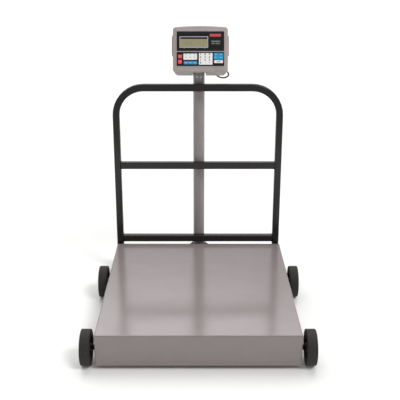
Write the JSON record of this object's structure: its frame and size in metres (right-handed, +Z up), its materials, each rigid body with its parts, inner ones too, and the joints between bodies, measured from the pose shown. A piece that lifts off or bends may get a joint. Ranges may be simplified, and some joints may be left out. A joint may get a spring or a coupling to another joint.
{
  "type": "platform shipping scale",
  "caption": "Portable floor scale: lift-off weighing platform on wheels, rear tube handle frame, and a column carrying a tilting keypad indicator.",
  "frame": {"origin": "on the floor, under the middle of the overall box", "axes": "+Z up, the front of the platform towards -Y, +X to the right of someone facing the indicator"},
  "size_m": [0.8128, 0.9542, 1.0624],
  "materials": {
    "grey_paint": "smooth satin powder coat, warm mid grey",
    "black_paint": "gloss black paint on square tube",
    "zinc_steel": "bright zinc plate",
    "cell_aluminium": "milled, clear anodised",
    "tyre_rubber": "moulded dark grey rubber, flat tread",
    "hub_plastic": "moulded black nylon",
    "bronze": "sintered bronze",
    "grey_abs": "fine moulded texture",
    "black_panel": "smooth black overlay",
    "silver_frame": "light grey satin",
    "lcd_glass": "olive reflective liquid crystal display",
    "red_key": "satin keycap",
    "white_key": "satin keymat",
    "blue_key": "satin keymat",
    "board_green": "solder mask",
    "black_rubber": "smooth cable sheath and grommets"
  },
  "bodies": {
    "base": {"base_rail_left": "grey_paint", "base_rail_right": "grey_paint", "base_crossmember_front": "grey_paint", "base_crossmember_rear": "grey_paint", "rear_sill": "grey_paint", "junction_box": "cell_aluminium", "axle_front": "zinc_steel", "axle_rear": "zinc_steel", "handle_hoop": "black_paint", "handle_middle_bar": "black_paint", "handle_lower_bar": "black_paint", "handle_bolt_left": "zinc_steel", "handle_bolt_right": "zinc_steel", "column": "grey_paint", "column_foot": "grey_paint", "tilt_bracket": "grey_paint", "bracket_bolt_left": "zinc_steel", "bracket_bolt_right": "zinc_steel", "cable_grommet": "black_rubber", "indicator_cable": "black_rubber", "load_cell_front_left": "cell_aluminium", "axle_nut_front_left": "zinc_steel", "load_cell_front_right": "cell_aluminium", "axle_nut_front_right": "zinc_steel", "load_cell_rear_left": "cell_aluminium", "axle_nut_rear_left": "zinc_steel", "load_cell_rear_right": "cell_aluminium", "axle_nut_rear_right": "zinc_steel"},
    "cover": {"platform_cover": "grey_paint", "deck_rib_front": "grey_paint", "deck_rib_rear": "grey_paint"},
    "wheel_front_left": {"wheel_tyre_front_left": "tyre_rubber", "wheel_hub_front_left": "hub_plastic", "wheel_bush_front_left": "bronze"},
    "wheel_front_right": {"wheel_tyre_front_right": "tyre_rubber", "wheel_hub_front_right": "hub_plastic", "wheel_bush_front_right": "bronze"},
    "wheel_rear_left": {"wheel_tyre_rear_left": "tyre_rubber", "wheel_hub_rear_left": "hub_plastic", "wheel_bush_rear_left": "bronze"},
    "wheel_rear_right": {"wheel_tyre_rear_right": "tyre_rubber", "wheel_hub_rear_right": "hub_plastic", "wheel_bush_rear_right": "bronze"},
    "indicator": {"front_bezel": "grey_abs", "rear_shell": "grey_abs", "pivot_bolt": "zinc_steel", "display_panel": "black_panel", "lcd_frame": "silver_frame", "lcd_module": "lcd_glass", "keypad_panel": "black_panel", "keymat_functions": "white_key", "keymat_blue_row": "blue_key", "keymat_numbers": "white_key", "keymat_blue_square": "blue_key", "main_board": "board_green", "cable_gland": "black_rubber", "power_inlet": "black_rubber"},
    "key_red_upper_cap": {"key_red_upper": "red_key"},
    "key_red_lower_cap": {"key_red_lower": "red_key"},
    "key_wide_cap": {"key_wide": "white_key"}
  },
  "joints": [
    {"name": "wheel_front_left_spin", "type": "hinge", "parent": "base", "child": "wheel_front_left", "pos_m": [-0.38895, -0.4136, 0.0635], "axis": [1, 0, 0], "continuous": true},
    {"name": "wheel_front_right_spin", "type": "hinge", "parent": "base", "child": "wheel_front_right", "pos_m": [0.38895, -0.4136, 0.0635], "axis": [1, 0, 0], "continuous": true},
    {"name": "wheel_rear_left_spin", "type": "hinge", "parent": "base", "child": "wheel_rear_left", "pos_m": [-0.38895, 0.1157, 0.0635], "axis": [1, 0, 0], "continuous": true},
    {"name": "wheel_rear_right_spin", "type": "hinge", "parent": "base", "child": "wheel_rear_right", "pos_m": [0.38895, 0.1157, 0.0635], "axis": [1, 0, 0], "continuous": true},
    {"name": "indicator_tilt", "type": "hinge", "parent": "base", "child": "indicator", "pos_m": [0.008, 0.41602, 0.92866], "axis": [-1, 0, 0], "range_deg": [-12, 25], "deforming": ["indicator_cable"]},
    {"name": "cover_lift", "type": "slide", "parent": "base", "child": "cover", "axis": [0, 0, 1], "range_m": [0, 0.12]},
    {"name": "key_red_upper_press", "type": "slide", "parent": "indicator", "child": "key_red_upper_cap", "axis": [0, 0.9397, -0.342], "range_m": [0, 0.0005], "stiffness_N_per_m": 1000},
    {"name": "key_red_lower_press", "type": "slide", "parent": "indicator", "child": "key_red_lower_cap", "axis": [0, 0.9397, -0.342], "range_m": [0, 0.0005], "stiffness_N_per_m": 1000},
    {"name": "key_wide_press", "type": "slide", "parent": "indicator", "child": "key_wide_cap", "axis": [0, 0.9397, -0.342], "range_m": [0, 0.0005], "stiffness_N_per_m": 1000}
  ]
}
